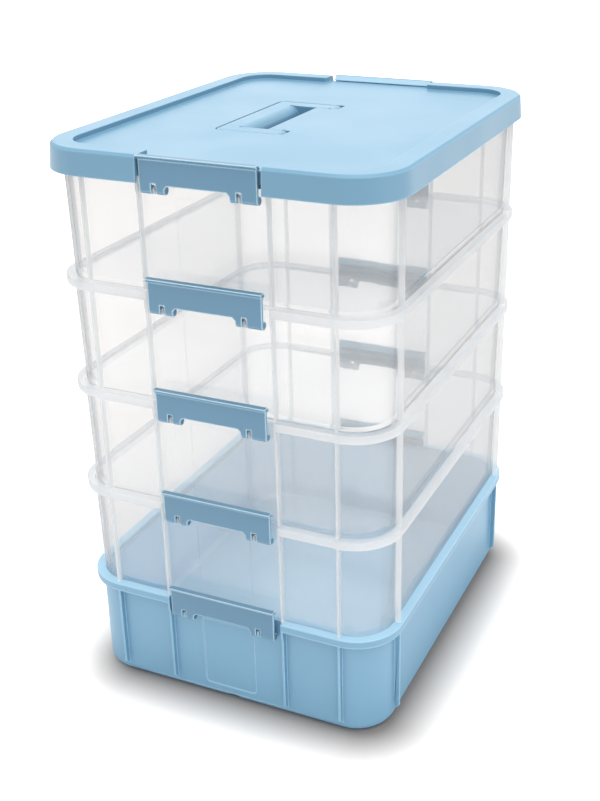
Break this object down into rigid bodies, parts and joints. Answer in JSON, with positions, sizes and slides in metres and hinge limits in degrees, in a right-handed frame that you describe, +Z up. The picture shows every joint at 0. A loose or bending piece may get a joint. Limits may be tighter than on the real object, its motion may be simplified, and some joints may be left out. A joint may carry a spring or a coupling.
{
  "type": "stacking tray organizer case",
  "caption": "Upright carry case of stacked clear trays on an opaque base tray, with clip-on latches, a raised-rim lid and a fold-flat handle.",
  "frame": {"origin": "middle of the base tray's underside, where the case stands", "axes": "+Z up through the stack, +X across the short latch faces, +Y along the long faces towards the back, so the front latches face -Y"},
  "size_m": [0.232, 0.2824, 0.3743],
  "materials": {
    "blue_polypropylene": "fine satin injection-moulded polypropylene, light blue",
    "clear_polypropylene": "glossy transparent injection-moulded plastic, colourless"
  },
  "bodies": {
    "base": {"base_tray": "blue_polypropylene"},
    "lid": {"lid": "blue_polypropylene"},
    "handle": {"handle": "blue_polypropylene"},
    "tray_1": {"clear_tray_1": "clear_polypropylene"},
    "tray_2": {"clear_tray_2": "clear_polypropylene"},
    "tray_3": {"clear_tray_3": "clear_polypropylene"},
    "tray_4": {"clear_tray_4": "clear_polypropylene"},
    "front_latch_1": {"front_latch_1": "blue_polypropylene"},
    "back_latch_1": {"back_latch_1": "blue_polypropylene"},
    "front_latch_2": {"front_latch_2": "blue_polypropylene"},
    "back_latch_2": {"back_latch_2": "blue_polypropylene"},
    "front_latch_3": {"front_latch_3": "blue_polypropylene"},
    "back_latch_3": {"back_latch_3": "blue_polypropylene"},
    "front_latch_4": {"front_latch_4": "blue_polypropylene"},
    "back_latch_4": {"back_latch_4": "blue_polypropylene"},
    "front_latch_5": {"front_latch_5": "blue_polypropylene"},
    "back_latch_5": {"back_latch_5": "blue_polypropylene"}
  },
  "joints": [
    {"name": "lift_tray_1", "type": "slide", "parent": "base", "child": "tray_1", "axis": [0, 0, 1], "range_m": [0, 0.015]},
    {"name": "lift_tray_2", "type": "slide", "parent": "tray_1", "child": "tray_2", "axis": [0, 0, 1], "range_m": [0, 0.015]},
    {"name": "lift_tray_3", "type": "slide", "parent": "tray_2", "child": "tray_3", "axis": [0, 0, 1], "range_m": [0, 0.015]},
    {"name": "lift_tray_4", "type": "slide", "parent": "tray_3", "child": "tray_4", "axis": [0, 0, 1], "range_m": [0, 0.015]},
    {"name": "lift_lid", "type": "slide", "parent": "tray_4", "child": "lid", "axis": [0, 0, 1], "range_m": [0, 0.015]},
    {"name": "open_front_latch_1", "type": "hinge", "parent": "base", "child": "front_latch_1", "pos_m": [0, -0.1362, 0.0638], "axis": [1, 0, 0], "range_deg": [0, 120]},
    {"name": "open_back_latch_1", "type": "hinge", "parent": "base", "child": "back_latch_1", "pos_m": [0, 0.1362, 0.0638], "axis": [-1, 0, 0], "range_deg": [0, 120]},
    {"name": "open_front_latch_2", "type": "hinge", "parent": "tray_1", "child": "front_latch_2", "pos_m": [0, -0.1362, 0.1358], "axis": [1, 0, 0], "range_deg": [0, 120]},
    {"name": "open_back_latch_2", "type": "hinge", "parent": "tray_1", "child": "back_latch_2", "pos_m": [0, 0.1362, 0.1358], "axis": [-1, 0, 0], "range_deg": [0, 120]},
    {"name": "open_front_latch_3", "type": "hinge", "parent": "tray_2", "child": "front_latch_3", "pos_m": [0, -0.1362, 0.2078], "axis": [1, 0, 0], "range_deg": [0, 120]},
    {"name": "open_back_latch_3", "type": "hinge", "parent": "tray_2", "child": "back_latch_3", "pos_m": [0, 0.1362, 0.2078], "axis": [-1, 0, 0], "range_deg": [0, 120]},
    {"name": "open_front_latch_4", "type": "hinge", "parent": "tray_3", "child": "front_latch_4", "pos_m": [0, -0.1362, 0.2798], "axis": [1, 0, 0], "range_deg": [0, 120]},
    {"name": "open_back_latch_4", "type": "hinge", "parent": "tray_3", "child": "back_latch_4", "pos_m": [0, 0.1362, 0.2798], "axis": [-1, 0, 0], "range_deg": [0, 120]},
    {"name": "open_front_latch_5", "type": "hinge", "parent": "tray_4", "child": "front_latch_5", "pos_m": [0, -0.1362, 0.3538], "axis": [1, 0, 0], "range_deg": [0, 120]},
    {"name": "open_back_latch_5", "type": "hinge", "parent": "tray_4", "child": "back_latch_5", "pos_m": [0, 0.1362, 0.3538], "axis": [-1, 0, 0], "range_deg": [0, 120]},
    {"name": "raise_handle", "type": "hinge", "parent": "lid", "child": "handle", "pos_m": [0.003, 0, 0.3655], "axis": [0, 1, 0], "range_deg": [0, 90]}
  ],
  "couplings": [
    {"joint": "open_front_latch_1", "follows": "lift_tray_1", "rad_per_m": 139.56},
    {"joint": "open_back_latch_1", "follows": "lift_tray_1", "rad_per_m": 139.56},
    {"joint": "open_front_latch_2", "follows": "lift_tray_2", "rad_per_m": 139.56},
    {"joint": "open_back_latch_2", "follows": "lift_tray_2", "rad_per_m": 139.56},
    {"joint": "open_front_latch_3", "follows": "lift_tray_3", "rad_per_m": 139.56},
    {"joint": "open_back_latch_3", "follows": "lift_tray_3", "rad_per_m": 139.56},
    {"joint": "open_front_latch_4", "follows": "lift_tray_4", "rad_per_m": 139.56},
    {"joint": "open_back_latch_4", "follows": "lift_tray_4", "rad_per_m": 139.56},
    {"joint": "open_front_latch_5", "follows": "lift_lid", "rad_per_m": 139.56},
    {"joint": "open_back_latch_5", "follows": "lift_lid", "rad_per_m": 139.56}
  ]
}
